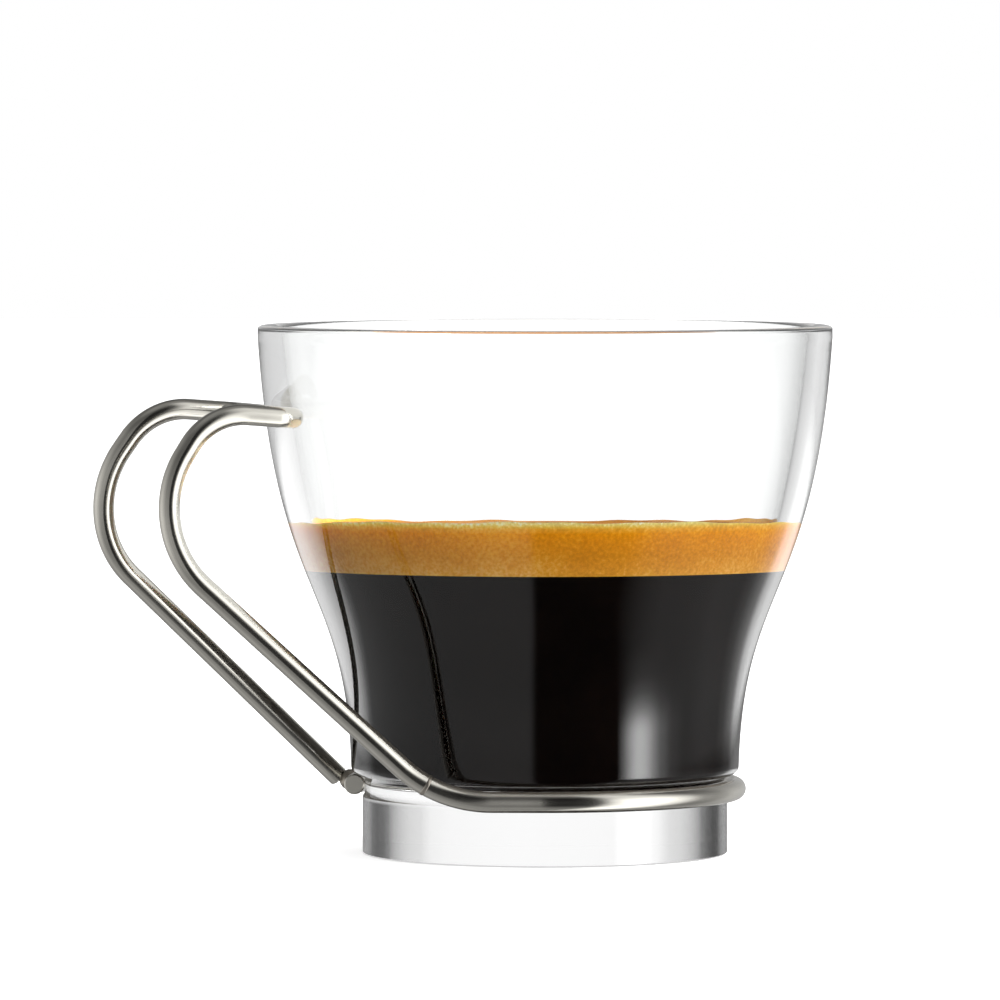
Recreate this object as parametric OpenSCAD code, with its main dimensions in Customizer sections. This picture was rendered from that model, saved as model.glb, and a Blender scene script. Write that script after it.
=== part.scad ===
// Cortado glass: a flared, footed glass with a swivelling bent wire handle, holding a double shot.
// +Z is up. The origin is the centre of the foot's resting face, and the handle points along -X.

/* [Glass] */
// Height of the glass from the table to the top of the rim
glass_h = 63.2; // [56:0.2:74]
// Outer radius of the glass at its widest, just under the rim
rim_r = 34.45; // [31:0.05:40]
// Thickness of the rounded rim
rim_t = 2.85; // [2:0.05:4]
// Radius of the rounding along both edges of the rim
rim_round = 0.8; // [0.4:0.05:1]
// How far the rounded shoulder overhangs the edge of the foot
shoulder_out = 1.4; // [1:0.05:3]
// Radius of the rounding under the shoulder
shoulder_round = 1.05; // [0.6:0.05:1.3]
// Wall thickness at the foot of the bowl
bowl_wall = 1.8; // [1.2:0.05:3.5]
// Wall control near the foot of the bowl
low_wall = 1.72; // [1.2:0.01:3.5]
// Wall control in the upper part of the bowl
high_wall = 3.97; // [2:0.01:5]
// Thickness of the solid base under the drink
base_t = 9.7; // [9.5:0.1:14]
// Radius of the corner between the bowl's wall and its floor
floor_round = 1; // [0.8:0.1:5]
// Radius of the solid foot
foot_r = 21.9; // [19:0.05:25]
// Rounding of the foot's bottom edge
foot_round = 0.7; // [0.5:0.1:2.5]

/* [Wire] */
// Diameter of the wire
wire_d = 2.5; // [2:0.05:3]
// Height of the ring's centre line above the table
ring_z = 7.6; // [6:0.1:8.6]
// How far the groove is let in behind the edge of the foot
groove_depth = 0.33; // [0.1:0.01:0.6]
// Running clearance of the ring in its groove
ring_fit = 0.08; // [0.03:0.01:0.15]
// Free height over the ring, under the shoulder
ring_play = 0.45; // [0.2:0.05:0.8]
// Angle between the handle's middle plane and the ring's cut end
cut_angle = 21; // [12:1:26]

/* [Handle] */
// Height of the cross bar below the rim
bar_drop = 10.45; // [6:0.05:20]
// Gap between the cross bar and the glass
bar_gap = 0.3; // [0.2:0.05:1]
// Half the distance between the legs' centre lines at the cross bar
bar_half = 11; // [8:0.1:14]
// Length of the top run, from the cross bar to the first bend's corner
top_run = 10.9; // [9:0.1:20]
// Rise of the top run
top_rise = 0.86; // [0:0.02:3]
// How far the bow's corner stands out past the first bend's corner
bow_out = 9.3; // [8:0.1:12]
// How far the bow's corner lies below the first bend's corner
bow_drop = 13.4; // [12.6:0.1:18]
// Angle between the handle's middle plane and the foot of each leg
leg_angle = 40.3; // [36:0.1:46]
// Gap between the feet of the legs and the shoulder
leg_gap = 1.2; // [1.05:0.05:1.6]
// Bend radius at each end of the cross bar
bar_bend = 2.6; // [2:0.1:4]
// Bend radius at the top of the bow
top_bend = 8.1; // [5:0.1:8.4]
// Bend radius at the foot of the bow
bow_bend = 11.8; // [8:0.1:12]
// Bend radius where the front leg sweeps into the ring
sweep_bend = 15; // [8:0.5:16]

/* [Welds] */
// Length of the butt weld along the wire
butt_weld_l = 0.5; // [0.3:0.05:1]
// How far the butt weld stands proud of the wire
weld_proud = 0.12; // [0.05:0.01:0.3]
// How far the rear leg stops short of the ring's level, along its centre line
rear_stop = 1; // [0.6:0.1:1.4]
// Radius of the rear weld bead
bead_r = 1.6; // [1.4:0.05:1.9]

/* [Drink] */
// Height of the crema's surface above the table
drink_z = 39.8; // [25:0.1:50]
// Depth of the crema
crema_t = 5.1; // [1:0.1:8]
// Film between the drink and the glass
drink_gap = 0.05; // [0.02:0.01:0.2]

/* [Hidden] */
$fn = 96;
// Steps along the bell's curve and round each small arc
curve_steps = 28;
arc_steps = 8;
// The most that the corner over the ring is rounded, as a share of the wire
neck_round_share = 0.3;
// Facets round the handle's wire, and the turn between its stations
wire_sides = 24;
bend_step = 6;
// Bending draws the wire this share thinner, and the sweep starts this turn inside its straight
bend_draw_share = 0.016;
bend_lap = 1;

// The shoulder, the wire, its ring and the groove that the ring turns in
shoulder_r = foot_r + shoulder_out;
wire_r = wire_d / 2;
bend_draw = bend_draw_share * wire_r;
groove_r = foot_r - groove_depth;
ring_r = groove_r + ring_fit + wire_r;
seat_r = wire_r + ring_fit;
seat_angle = acos((ring_r - foot_r) / seat_r);
under_z = ring_z + wire_r + ring_play;
bell_z = under_z + shoulder_round;
neck_round = min(shoulder_r - shoulder_round - groove_r, neck_round_share * wire_d);

// The bell: one cubic curve outside, and the same curve less the wall inside
rim_z = glass_h - rim_t / 2;
bell_r_shares = [0.055, 0.816];
bell_z_shares = [0.435, 0.384];
bell_points = [
    [shoulder_r, bell_z],
    [shoulder_r + bell_r_shares[0] * (rim_r - shoulder_r), bell_z + bell_z_shares[0] * (rim_z - bell_z)],
    [shoulder_r + bell_r_shares[1] * (rim_r - shoulder_r), bell_z + bell_z_shares[1] * (rim_z - bell_z)],
    [rim_r, rim_z]
];
walls = [bowl_wall, low_wall, high_wall, rim_t];
bowl_points = [for (i = [0:3]) bell_points[i] - [walls[i], 0]];
outer_side = curve(bell_points);
inner_side = curve(bowl_points);
floor_top = base_t + floor_round;
floor_centre = [radius_at(inner_side, floor_top) - floor_round, floor_top];
crema_z = drink_z - crema_t;

// The corners of the bent wire. side is -1 for the front leg and 1 for the rear leg.
bar_z = glass_h - bar_drop;
bar_x = radius_at(outer_side, bar_z) + bar_gap + wire_r;
bend_z = bar_z + top_rise;
bow_z = bend_z - bow_drop;
foot_reach = shoulder_r + leg_gap + wire_r;
foot_x = foot_reach * cos(leg_angle);
foot_half = foot_reach * sin(leg_angle);
spread_share = (foot_half - bar_half) / (bar_z - ring_z);
function leg_y(side, z) = side * (bar_half + (bar_z - z) * spread_share);
function bar_corner(side) = [-bar_x, leg_y(side, bar_z), bar_z];
function top_corner(side) = [-bar_x - top_run, leg_y(side, bend_z), bend_z];
function bow_corner(side) = [-bar_x - top_run - bow_out, leg_y(side, bow_z), bow_z];
function foot_corner(side) = [-foot_x, side * foot_half, ring_z];

// The front leg's foot meets the ring along a tangent
tangent_angle = leg_angle + acos(ring_r / foot_reach);
ring_start = 180 + tangent_angle;
ring_sweep = 360 - cut_angle - tangent_angle;
tangent_point = [ring_r * cos(ring_start), ring_r * sin(ring_start), ring_z];
front_sweep = [tangent_point, foot_corner(-1), bow_corner(-1)];
seam_share = 0.7;
butt_share = butt_weld_l / (sweep_bend * bend_turn(front_sweep) * PI / 180);

// The rear leg's cut end and its weld
rear_end = foot_corner(1) + rear_stop * unit(bow_corner(1) - foot_corner(1));
rear_angle = atan2(rear_end[1], rear_end[0]);
ring_by_rear = [ring_r * cos(rear_angle), ring_r * sin(rear_angle), ring_z];
bead_centre = (rear_end + ring_by_rear) / 2;

function unit(v) = v / norm(v);
function bezier(p, t) =
    pow(1 - t, 3) * p[0] + 3 * pow(1 - t, 2) * t * p[1] + 3 * (1 - t) * t * t * p[2] + pow(t, 3) * p[3];
function curve(p) = [for (i = [0:curve_steps]) bezier(p, i / curve_steps)];
function radius_at(side, z) = lookup(z, [for (p = side) [p[1], p[0]]]);
function reversed(list) = [for (i = [len(list) - 1:-1:0]) list[i]];
function arc(centre, r, from, to) = [
    for (i = [0:arc_steps])
        let (a = from + (to - from) * i / arc_steps)
        centre + r * [cos(a), sin(a)]
];

// The bowl's side between two heights, moved in from the glass by a film
function bowl_side(film, low, high) = concat(
    [[radius_at(inner_side, low) - film, low]],
    [for (p = inner_side) if (p[1] > low && p[1] < high) [p[0] - film, p[1]]],
    [[radius_at(inner_side, high) - film, high]]
);
function bowl_corner(film) = arc(floor_centre, floor_round - film, -90, 0);

function foot_side() = concat(
    arc([foot_r - foot_round, foot_round], foot_round, -90, 0),
    arc([ring_r, ring_z], seat_r, 180 + seat_angle, 180)
);
function shoulder_side() = concat(
    arc([groove_r + neck_round, under_z - neck_round], neck_round, 180, 90),
    arc([shoulder_r - shoulder_round, bell_z], shoulder_round, -90, 0)
);

module glass_cup() {
    color("aliceblue", 0.4)
    rotate_extrude()
    polygon(concat(
        [[0, 0]],
        foot_side(),
        shoulder_side(),
        outer_side,
        arc([rim_r - rim_round, glass_h - rim_round], rim_round, 0, 90),
        arc([rim_r - rim_t + rim_round, glass_h - rim_round], rim_round, 90, 180),
        reversed(bowl_side(0, floor_top, rim_z)),
        reversed(bowl_corner(0)),
        [[0, base_t]]
    ));
}

module espresso() {
    color("#1c1412")
    rotate_extrude()
    polygon(concat(
        [[0, base_t + drink_gap]],
        bowl_corner(drink_gap),
        bowl_side(drink_gap, floor_top, crema_z),
        [[0, crema_z]]
    ));
}

module crema() {
    color("#c98a3c")
    rotate_extrude()
    polygon(concat(
        [[0, crema_z]],
        bowl_side(drink_gap, crema_z, drink_z),
        [[0, drink_z]]
    ));
}

// Bends of the wire: each one rounds the middle of three corners
function bend_turn(corners) =
    acos(unit(corners[1] - corners[0]) * unit(corners[2] - corners[1]));
function bend_reach(corners, r) = r * tan(bend_turn(corners) / 2);
function bend_start(corners, r) =
    corners[1] - bend_reach(corners, r) * unit(corners[1] - corners[0]);
function bend_away(corners) =
    let (ahead = unit(corners[1] - corners[0]))
    cross(ahead, unit(cross(ahead, corners[2] - corners[1])));
function bend_centre(corners, r) = bend_start(corners, r) - r * bend_away(corners);

// The stations along a bend, or a share of it: each is a point and the wire's direction there
function bend_stations(corners, r, from = 0, to = 1) =
    let (
        ahead = unit(corners[1] - corners[0]),
        away = bend_away(corners),
        turn = bend_turn(corners),
        steps = ceil((to - from) * turn / bend_step)
    )
    [for (i = [0:steps])
        let (a = turn * (from + (to - from) * i / steps))
        [bend_centre(corners, r) + r * (cos(a) * away + sin(a) * ahead), cos(a) * ahead - sin(a) * away]];

// A direction square to each station's, carried along the wire without twist
function square_to(direction, v) = unit(v - (v * direction) * direction);
function carried(stations) = [
    for (
        i = 0, n = square_to(stations[0][1], [0, 0, 1]);
        i < len(stations);
        i = i + 1, n = square_to(stations[min(i, len(stations) - 1)][1], n)
    ) n
];

// A round wire through the stations
module wire(stations) {
    side = carried(stations);
    last = len(stations) - 1;
    points = [
        for (i = [0:last], k = [0:wire_sides - 1])
            let (a = 360 * k / wire_sides, other = cross(stations[i][1], side[i]))
            stations[i][0] + wire_r * (cos(a) * side[i] + sin(a) * other)
    ];
    skin = [
        for (i = [0:last - 1], k = [0:wire_sides - 1])
            let (
                a = i * wire_sides + k,
                b = i * wire_sides + (k + 1) % wire_sides
            )
            each [[a, a + wire_sides, b], [b, a + wire_sides, b + wire_sides]]
    ];
    first_end = [for (k = [0:wire_sides - 1]) k];
    last_end = [for (k = [wire_sides - 1:-1:0]) last * wire_sides + k];
    polyhedron(points, concat(skin, [first_end, last_end]));
}

module handle_loop() {
    bar_ends = [foot_corner(-1), bow_corner(-1), top_corner(-1), bar_corner(-1)];
    corners = concat(bar_ends, [bar_corner(1), top_corner(1), bow_corner(1), foot_corner(1)]);
    bends = [bow_bend, top_bend, bar_bend, bar_bend, top_bend, bow_bend];
    color("#b9b2a8")
    wire(concat(
        bend_stations(front_sweep, sweep_bend, from = seam_share + butt_share / 2),
        [for (i = [1:6]) each bend_stations([corners[i - 1], corners[i], corners[i + 1]], bends[i - 1])],
        [[rear_end, unit(foot_corner(1) - bow_corner(1))]]
    ));
}

module ring_arc() {
    rotate([0, 0, ring_start])
    rotate_extrude(angle = ring_sweep)
    translate([ring_r, 0])
    circle(r = wire_r);
}

// The ring runs on along its tangent and starts the sweep up to the handle, as far as the weld
module base_ring() {
    lead = norm(bend_start(front_sweep, sweep_bend) - tangent_point);
    away = bend_away(front_sweep);
    outward = unit([tangent_point[0], tangent_point[1], 0]);
    color("#b9b2a8")
    translate([0, 0, ring_z]) {
        ring_arc();
        rotate([0, 0, ring_start])
        translate([ring_r, 0, 0])
        rotate([90, 0, 0]) {
            cylinder(h = lead, r = wire_r);
            translate([0, 0, lead])
            rotate([0, 0, atan2(away[2], away * outward)])
            translate([-sweep_bend, 0, 0])
            rotate([90, 0, 0])
            bend_arc(sweep_bend, (seam_share - butt_share / 2) * bend_turn(front_sweep), wire_r - bend_draw, bend_lap);
        }
    }
}

module bend_arc(r, turn, thick, lap = 0) {
    rotate([0, 0, -lap])
    rotate_extrude(angle = turn + lap)
    translate([r, 0])
    circle(r = thick);
}

// A short collar of weld where the ring's wire and the handle's wire butt together
module front_weld() {
    ahead = unit(front_sweep[1] - front_sweep[0]);
    away = bend_away(front_sweep);
    axle = cross(away, ahead);
    centre = bend_centre(front_sweep, sweep_bend);
    turn = bend_turn(front_sweep);
    color("#8d857b")
    multmatrix([
        [away[0], ahead[0], axle[0], centre[0]],
        [away[1], ahead[1], axle[1], centre[1]],
        [away[2], ahead[2], axle[2], centre[2]]
    ])
    rotate([0, 0, (seam_share - butt_share / 2) * turn])
    bend_arc(sweep_bend, butt_share * turn, wire_r + weld_proud);
}

// The bead fills the corner between the rear leg's cut end and the outside of the ring.
// Its poles point at the leg and at the ring.
module rear_weld() {
    leg = bow_corner(1) - rear_end;
    color("#8d857b")
    difference() {
        translate(bead_centre) rotate([0, 90, rear_angle]) sphere(r = bead_r);
        translate([0, 0, ring_z]) ring_arc();
        translate(rear_end)
        rotate([0, acos(leg[2] / norm(leg)), atan2(leg[1], leg[0])])
        cylinder(h = norm(leg), r = wire_r);
    }
}

glass_cup();
base_ring();
handle_loop();
front_weld();
rear_weld();
espresso();
crema();
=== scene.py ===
"""Looks for the cortado glass: clear glass, satin wire, espresso and crema, in a bright studio.

Every piece is made in metres in the CAD frame: +Z up from the foot's resting face, handle along -X.
"""

import math

import bmesh
import bpy
from mathutils import Matrix, Vector


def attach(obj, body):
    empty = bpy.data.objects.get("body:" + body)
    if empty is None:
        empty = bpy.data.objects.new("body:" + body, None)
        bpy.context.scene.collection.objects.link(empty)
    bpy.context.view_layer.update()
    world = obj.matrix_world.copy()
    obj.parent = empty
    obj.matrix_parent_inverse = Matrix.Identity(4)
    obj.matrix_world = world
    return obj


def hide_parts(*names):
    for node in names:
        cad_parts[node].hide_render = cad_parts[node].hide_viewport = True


bl_info = {
    "name": "Cortado Glass",
    "version": (1, 0, 0),
    "blender": (4, 5, 0),
    "location": "3D View > Sidebar > Glass",
    "description": "Dresses the packed cortado glass and sets its studio",
    "category": "Object",
}

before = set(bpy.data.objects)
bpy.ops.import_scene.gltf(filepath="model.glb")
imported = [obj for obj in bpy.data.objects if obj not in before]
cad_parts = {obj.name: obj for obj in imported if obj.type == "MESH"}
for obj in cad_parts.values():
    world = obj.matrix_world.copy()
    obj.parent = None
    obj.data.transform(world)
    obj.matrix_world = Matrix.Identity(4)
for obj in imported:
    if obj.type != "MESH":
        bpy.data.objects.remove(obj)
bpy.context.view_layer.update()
MM = 0.001
HIDDEN_JOINT = 1e-6
SHARP_EDGE = math.radians(60)

# The bell's curve: each control point's share of the way out and up from the shoulder to the rim
BELL_SHARES = ((0, 0), (0.055, 0.435), (0.816, 0.384), (1, 1))
BELL_STEPS = 90
NECK_SHARE = 0.3      # rounding of the corner over the ring, in wire diameters
RIM_SQUAT = 0.5       # height of the rim's outer rounding, as a share of its width

# The drink's surface and the crema's edge, in millimetres
MENISCUS = 0.35       # how far the surface lies below its edge
MENISCUS_REACH = 0.4  # how quickly it falls away from the glass
LAYER_GAP = 0.01      # between the crema and the espresso under it
FOAM_RISE = 0.52      # how far the foam climbs the glass on the whole
FOAM_TILT = 0.83      # how much higher or lower it stands on its high or low side
FOAM_LOW_SIDE = math.radians(69)


# Shapes of the glass, in millimetres, as the part's source has them

def bezier(p, t):
    u = 1 - t
    return tuple(
        u**3 * p[0][k] + 3 * u * u * t * p[1][k] + 3 * u * t * t * p[2][k] + t**3 * p[3][k]
        for k in (0, 1)
    )


def arc(centre, r, start, end, steps):
    return [
        (
            centre[0] + r * math.cos(math.radians(start + (end - start) * i / steps)),
            centre[1] + r * math.sin(math.radians(start + (end - start) * i / steps)),
        )
        for i in range(steps + 1)
    ]


def radius_at(side, z):
    for (r0, z0), (r1, z1) in zip(side, side[1:]):
        if z0 <= z <= z1:
            return r0 + (r1 - r0) * (z - z0) / (z1 - z0)
    return side[-1][0] if z > side[-1][1] else side[0][0]


def glass_sizes(s):
    """The derived sizes that the glass, the drink and the wire share."""
    d = {}
    d["wire_r"] = s.wire_d / MM / 2
    d["groove_r"] = s.foot_r / MM - s.groove_depth / MM
    d["ring_r"] = d["groove_r"] + s.ring_fit / MM + d["wire_r"]
    d["seat_r"] = d["wire_r"] + s.ring_fit / MM
    d["ring_z"] = s.ring_z / MM
    d["under_z"] = d["ring_z"] + d["wire_r"] + s.ring_play / MM
    d["shoulder_r"] = s.foot_r / MM + s.shoulder_out / MM
    d["shoulder_round"] = s.shoulder_round / MM
    d["bell_z"] = d["under_z"] + d["shoulder_round"]
    d["rim_r"], d["rim_t"] = s.rim_r / MM, s.rim_t / MM
    d["rim_z"] = s.glass_h / MM - d["rim_t"] / 2
    r0, z0, r1, z1 = d["shoulder_r"], d["bell_z"], d["rim_r"], d["rim_z"]
    bell = [(r0 + out * (r1 - r0), z0 + up * (z1 - z0)) for out, up in BELL_SHARES]
    walls = (s.bowl_wall / MM, s.low_wall / MM, s.high_wall / MM, d["rim_t"])
    bowl = [(r - w, z) for (r, z), w in zip(bell, walls)]
    d["outer"] = [bezier(bell, i / BELL_STEPS) for i in range(BELL_STEPS + 1)]
    d["inner"] = [bezier(bowl, i / BELL_STEPS) for i in range(BELL_STEPS + 1)]
    d["base_t"], d["floor_round"] = s.base_t / MM, s.floor_round / MM
    d["floor_top"] = d["base_t"] + d["floor_round"]
    d["floor_centre"] = (radius_at(d["inner"], d["floor_top"]) - d["floor_round"], d["floor_top"])
    return d


def eased(points, r):
    """The outline with each sharp corner rounded by a small radius, apart from the resting edge."""
    out = [points[0]]
    for a, b, c in zip(points, points[1:], points[2:]):
        u, v = Vector(a) - Vector(b), Vector(c) - Vector(b)
        if b[1] < 0.001 or min(u.length, v.length) < 1e-6 or math.degrees(u.angle(-v)) < 25:
            out.append(b)
            continue
        reach = min(r, u.length * 0.45, v.length * 0.45)
        p, q = Vector(b) + u.normalized() * reach, Vector(b) + v.normalized() * reach
        for t in (0, 0.25, 0.5, 0.75, 1):
            m = p * (1 - t) ** 2 + Vector(b) * 2 * t * (1 - t) + q * t * t
            out.append((m.x, m.y))
    return out + [points[-1]]


def spaced(points, step):
    """The outline with its long stretches cut up, finely beside short ones."""
    out = [points[0]]
    for a, b in zip(points, points[1:]):
        n = max(1, math.ceil(math.dist(a, b) / step))
        for i in range(1, n + 1):
            t = i / n
            if n > 4:
                t = 0.5 - 0.5 * math.cos(math.pi * t)
            out.append((a[0] + (b[0] - a[0]) * t, a[1] + (b[1] - a[1]) * t))
    return out


def cup_outline(s):
    """From the foot's middle up the outside, over the rim and down the inside to the floor."""
    d = glass_sizes(s)
    foot_r, rim_round = s.foot_r / MM, s.rim_round / MM
    seat_angle = math.degrees(math.acos((d["ring_r"] - foot_r) / d["seat_r"]))
    neck_round = min(
        d["shoulder_r"] - d["shoulder_round"] - d["groove_r"], NECK_SHARE * s.wire_d / MM
    )
    bowl = [p for p in d["inner"] if p[1] > d["floor_top"]]
    points = [(0, 0), (foot_r, 0)]
    points += arc((d["ring_r"], d["ring_z"]), d["seat_r"], 180 + seat_angle, 180, 6)
    points += arc(
        (d["groove_r"] + neck_round, d["under_z"] - neck_round), neck_round, 180, 90, 6
    )
    points += arc(
        (d["shoulder_r"] - d["shoulder_round"], d["bell_z"]), d["shoulder_round"], -90, 0, 12
    )
    points += d["outer"][1:]
    top = s.glass_h / MM
    rolled = arc((d["rim_r"] - rim_round, top - rim_round), rim_round, 0, 90, 11)
    points += [(r, top - (top - z) * RIM_SQUAT) for r, z in rolled]
    points += arc((d["rim_r"] - d["rim_t"] + rim_round, top - rim_round), rim_round, 90, 180, 11)
    points += bowl[::-1]
    points += arc(d["floor_centre"], d["floor_round"], 0, -90, 14)
    points += [(0, d["base_t"])]
    return spaced(eased(points, r=0.12), step=0.9)


def drink_side(d, contact, low, high):
    side = [(r + contact, z) for r, z in d["inner"] if low + 0.01 < z < high - 0.01]
    ends = [(radius_at(d["inner"], z) + contact, z) for z in (low, high)]
    return [ends[0]] + side + [ends[1]]


def espresso_outline(s):
    """The espresso, from the middle of the floor up to the crema."""
    d = glass_sizes(s)
    contact = s.drink_contact / MM
    crema_z = (s.drink_z - s.crema_t) / MM
    points = [(0, d["base_t"] - contact)]
    points += arc(d["floor_centre"], d["floor_round"] + contact, -90, 0, 12)
    points += drink_side(d, contact, d["floor_top"], crema_z)[1:]
    points += [(0, crema_z)]
    return spaced(eased(points, r=0.1), step=0.9)


def crema_outline(s):
    """The crema's top sits a little low in the middle and climbs to a thin line at the glass."""
    d = glass_sizes(s)
    contact = s.drink_contact / MM
    crema_z, top = (s.drink_z - s.crema_t) / MM, s.drink_z / MM
    edge = radius_at(d["inner"], top) + contact
    points = [(0, crema_z + LAYER_GAP)]
    points += drink_side(d, contact, crema_z + LAYER_GAP, top)
    points += [
        (edge - x, top - MENISCUS * (1 - math.exp(-x / MENISCUS_REACH)))
        for x in (0.1, 0.25, 0.45, 0.7, 1, 1.5, 2.2, 3.2)
    ]
    points += [(0, top - MENISCUS)]
    return spaced(eased(points, r=0.06), step=0.5)


# The bent wire's centre line, in millimetres

def bend(corners, r, step=3.0, start=0.0, end=1.0):
    """The points along the round bend at the middle of three corners, a step in degrees apart."""
    a, b, c = (Vector(p) for p in corners)
    ahead = (b - a).normalized()
    turn = ahead.angle(c - b)
    away = ahead.cross(ahead.cross(c - b).normalized())
    centre = b - ahead * r * math.tan(turn / 2) - away * r
    n = max(2, math.ceil(math.degrees(turn) * (end - start) / step))
    return [
        centre + r * (math.cos(t) * away + math.sin(t) * ahead)
        for t in (turn * (start + (end - start) * i / n) for i in range(n + 1))
    ]


def wire_corners(s):
    """The corners of both side legs before they are bent, and where the ring's run out begins."""
    d = glass_sizes(s)
    bar_z = (s.glass_h - s.bar_drop) / MM
    bar_x = radius_at(d["outer"], bar_z) + s.bar_gap / MM + d["wire_r"]
    reach = d["shoulder_r"] + s.leg_gap / MM + d["wire_r"]
    foot_x, foot_y = reach * math.cos(s.leg_angle), reach * math.sin(s.leg_angle)
    half = s.bar_half / MM
    spread = (foot_y - half) / (bar_z - d["ring_z"])
    bend_z = bar_z + s.top_rise / MM
    bow_z = bend_z - s.bow_drop / MM
    out1, out2 = bar_x + s.top_run / MM, bar_x + (s.top_run + s.bow_out) / MM
    sides = {}
    for side in (-1, 1):
        y = lambda z: side * (half + (bar_z - z) * spread)
        sides[side] = [
            Vector((-bar_x, y(bar_z), bar_z)),
            Vector((-out1, y(bend_z), bend_z)),
            Vector((-out2, y(bow_z), bow_z)),
            Vector((-foot_x, side * foot_y, d["ring_z"])),
        ]
    turn = s.leg_angle + math.acos(d["ring_r"] / reach)
    tangent = Vector((-d["ring_r"] * math.cos(turn), -d["ring_r"] * math.sin(turn), d["ring_z"]))
    return d, sides, turn, tangent


def wire_paths(s):
    """Centre lines of the ring with its run out, and of the handle, and the place of both welds."""
    d, sides, turn, tangent = wire_corners(s)
    front, rear = sides[-1], sides[1]
    sweep = (tangent, front[3], front[2])
    sweep_r = s.sweep_bend / MM
    begin, stop = math.pi + turn, 3 * math.pi - s.cut_angle
    n = 150
    spring, spring_steps = s.end_spring / MM, 14
    ring = []
    for i in range(n + 1):
        a = stop + (begin - stop) * i / n
        z = d["ring_z"] + spring * math.exp(-((i / spring_steps) ** 2))
        ring.append(Vector((d["ring_r"] * math.cos(a), d["ring_r"] * math.sin(a), z)))
    to_seam = bend(sweep, sweep_r, step=2.0, end=s.seam_share)
    from_seam = bend(sweep, sweep_r, step=2.0, start=s.seam_share)
    handle = list(from_seam)
    for corners, r in (
        ((front[3], front[2], front[1]), s.bow_bend),
        ((front[2], front[1], front[0]), s.top_bend),
        ((front[1], front[0], rear[0]), s.bar_bend),
        ((front[0], rear[0], rear[1]), s.bar_bend),
        ((rear[0], rear[1], rear[2]), s.top_bend),
        ((rear[1], rear[2], rear[3]), s.bow_bend),
    ):
        handle += bend(corners, r / MM)
    rear_end = rear[3] + (rear[2] - rear[3]).normalized() * s.rear_stop / MM
    handle.append(rear_end)
    seam = (to_seam[-1], (from_seam[1] - to_seam[-2]).normalized())
    by_ring = Vector((rear_end.x, rear_end.y, 0)).normalized() * d["ring_r"]
    by_ring.z = d["ring_z"]
    return d, ring + to_seam, handle, seam, (rear_end, by_ring)


# Geometry Nodes trees, and the plain meshes made with them

def new_tree(name, inputs):
    tree = bpy.data.node_groups.new(name, "GeometryNodeTree")
    ids = {}
    for label, kind in [("Geometry", "NodeSocketGeometry")] + inputs:
        socket = tree.interface.new_socket(label, in_out="INPUT", socket_type=kind)
        ids[label] = socket.identifier
    tree.interface.new_socket("Geometry", in_out="OUTPUT", socket_type="NodeSocketGeometry")
    return tree, ids, tree.nodes.new("NodeGroupInput"), tree.nodes.new("NodeGroupOutput")


def chain(tree, start, steps, end):
    """Adds nodes one after the other along the geometry, and returns them."""
    made, last = [], start
    for kind in steps:
        node = tree.nodes.new(kind)
        tree.links.new(last, node.inputs[0])
        made.append(node)
        last = node.outputs[0]
    tree.links.new(last, end)
    return made


def math_node(tree, kind, a, b=None):
    node = tree.nodes.new("ShaderNodeMath")
    node.operation = kind
    for socket, value in zip(node.inputs, (a, b)):
        if value is None:
            continue
        if isinstance(value, (int, float)):
            socket.default_value = value
        else:
            tree.links.new(value, socket)
    return node.outputs[0]


def lathe_tree():
    """Turns an outline, given as a chain of points in the XZ plane, about Z."""
    tree, ids, begin, end = new_tree(
        "Turned on the lathe",
        [
            ("Steps", "NodeSocketInt"),
            ("Outline Points", "NodeSocketInt"),
            ("Material", "NodeSocketMaterial"),
        ],
    )
    links = tree.links
    grid = tree.nodes.new("GeometryNodeMeshGrid")
    for side in ("Size X", "Size Y"):
        grid.inputs[side].default_value = 1
    links.new(math_node(tree, "ADD", begin.outputs["Steps"], 1), grid.inputs["Vertices X"])
    links.new(begin.outputs["Outline Points"], grid.inputs["Vertices Y"])
    index = tree.nodes.new("GeometryNodeInputIndex").outputs[0]
    column = math_node(
        tree, "FLOOR", math_node(tree, "DIVIDE", index, begin.outputs["Outline Points"])
    )
    row = math_node(tree, "MODULO", index, begin.outputs["Outline Points"])
    sample = tree.nodes.new("GeometryNodeSampleIndex")
    sample.data_type = "FLOAT_VECTOR"
    links.new(begin.outputs["Geometry"], sample.inputs["Geometry"])
    links.new(tree.nodes.new("GeometryNodeInputPosition").outputs[0], sample.inputs["Value"])
    links.new(row, sample.inputs["Index"])
    turn = tree.nodes.new("ShaderNodeVectorRotate")
    turn.rotation_type = "Z_AXIS"
    links.new(sample.outputs[0], turn.inputs["Vector"])
    turned_by = math_node(tree, "MULTIPLY", column, 2 * math.pi)
    angle = math_node(tree, "DIVIDE", turned_by, begin.outputs["Steps"])
    links.new(angle, turn.inputs["Angle"])
    place, merge, *_, finish = chain(
        tree,
        grid.outputs["Mesh"],
        [
            "GeometryNodeSetPosition",
            "GeometryNodeMergeByDistance",
            "GeometryNodeSetShadeSmooth",
            "GeometryNodeRealizeInstances",
            "GeometryNodeSetMaterial",
        ],
        end.inputs[0],
    )
    links.new(turn.outputs[0], place.inputs["Position"])
    merge.inputs["Distance"].default_value = 2 * HIDDEN_JOINT
    links.new(begin.outputs["Material"], finish.inputs["Material"])
    return tree, ids


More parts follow.
